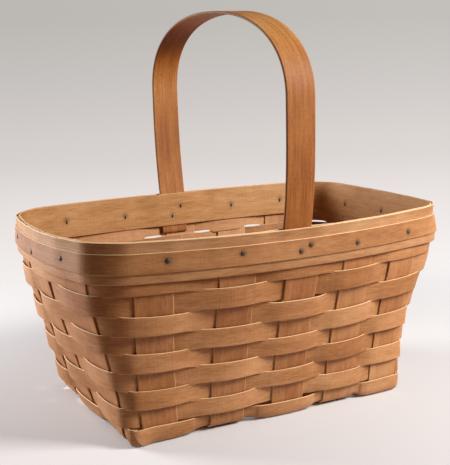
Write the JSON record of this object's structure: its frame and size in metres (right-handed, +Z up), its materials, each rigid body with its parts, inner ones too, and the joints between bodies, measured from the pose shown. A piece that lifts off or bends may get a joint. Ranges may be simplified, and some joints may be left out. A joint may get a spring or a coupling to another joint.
{
  "type": "splint market basket with a fixed handle",
  "caption": "Rectangular woven splint basket with flared walls, nailed rim bands and a fixed bentwood hoop handle.",
  "frame": {"origin": "on the surface that the basket stands on, under the middle of its bounding box, which is also under the middle of the handle's arch", "axes": "+Z up; X along the basket's long side; -Y towards the long side that the picture shows, -X towards the end that it shows"},
  "size_m": [0.3821, 0.263, 0.361],
  "materials": {
    "maple_upright": "sanded maple splint with fine upright grain, satin",
    "maple_weaver": "thin maple splint with lengthwise grain and pale cut edges, satin",
    "maple_band": "wide maple rim splint with lengthwise grain, satin",
    "maple_trim_band": "narrow maple rim splint, satin",
    "maple_handle": "steam-bent wooden band with streaky lengthwise grain, satin",
    "dark_steel": "small dark steel tacks with darkened wood round the heads"
  },
  "bodies": {
    "root": {"cross_splint_1": "maple_upright", "cross_splint_2": "maple_upright", "cross_splint_3": "maple_upright", "cross_splint_4": "maple_upright", "cross_splint_5": "maple_upright", "long_splint_1": "maple_upright", "long_splint_2": "maple_upright", "long_splint_3": "maple_upright", "near_edge_strip": "maple_weaver", "far_edge_strip": "maple_weaver", "left_edge_strip": "maple_weaver", "right_edge_strip": "maple_weaver", "weaver_row_1": "maple_weaver", "weaver_row_2": "maple_weaver", "weaver_row_3": "maple_weaver", "weaver_row_4": "maple_weaver", "weaver_row_5": "maple_weaver", "weaver_row_6": "maple_weaver", "weaver_row_7": "maple_weaver", "weaver_row_8": "maple_weaver", "outer_rim_band": "maple_band", "inner_rim_band": "maple_band", "narrow_rim_band": "maple_trim_band", "handle_band": "maple_handle", "rim_tack_near_1": "dark_steel", "rim_tack_near_2": "dark_steel", "handle_tack_near_a": "dark_steel", "handle_tack_near_b": "dark_steel", "rim_tack_near_4": "dark_steel", "rim_tack_near_5": "dark_steel", "rim_tack_right_1": "dark_steel", "rim_tack_right_2": "dark_steel", "rim_tack_right_3": "dark_steel", "rim_tack_far_1": "dark_steel", "rim_tack_far_2": "dark_steel", "handle_tack_far_a": "dark_steel", "handle_tack_far_b": "dark_steel", "rim_tack_far_4": "dark_steel", "rim_tack_far_5": "dark_steel", "rim_tack_left_1": "dark_steel", "rim_tack_left_2": "dark_steel", "rim_tack_left_3": "dark_steel"}
  },
  "joints": []
}
